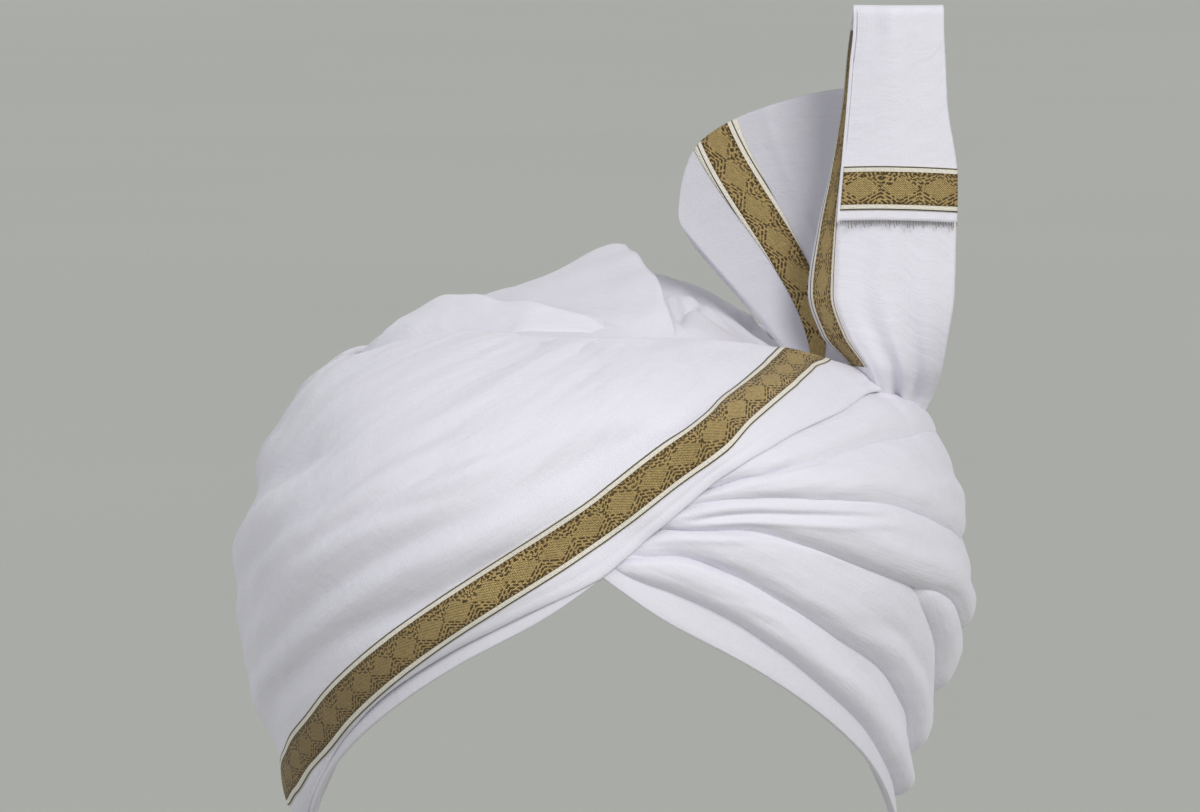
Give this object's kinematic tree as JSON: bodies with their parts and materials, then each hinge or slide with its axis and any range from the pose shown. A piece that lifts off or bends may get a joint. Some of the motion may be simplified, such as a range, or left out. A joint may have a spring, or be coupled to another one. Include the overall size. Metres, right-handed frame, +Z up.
{
  "type": "imamah turban",
  "caption": "Wound white turban, hollow for the head, with pleats swept to one side, a gold woven border, a peaked crown and an upright starched fan.",
  "frame": {"origin": "where the top of the head meets the inside of the crown", "axes": "+Z up as worn, front of the turban towards -Y, the wearer's left and the fan towards +X"},
  "size_m": [0.214, 0.2224, 0.242],
  "materials": {
    "white_cotton": "matte",
    "gold_border": "satin"
  },
  "bodies": {
    "root": {"base_wrap": "white_cotton", "front_wrap": "white_cotton", "side_pleat_1": "white_cotton", "side_pleat_2": "white_cotton", "side_pleat_3": "white_cotton", "side_pleat_4": "white_cotton", "side_pleat_5": "white_cotton", "side_pleat_6": "white_cotton", "crown_wrap": "white_cotton", "crown_fold": "white_cotton", "crown_peak": "white_cotton", "crown_tuck": "white_cotton", "turra_fan": "white_cotton", "turra_upright": "white_cotton", "border_front_wrap": "gold_border", "border_turra_fan": "gold_border", "border_turra_side": "gold_border", "border_turra_end": "gold_border"}
  },
  "joints": []
}
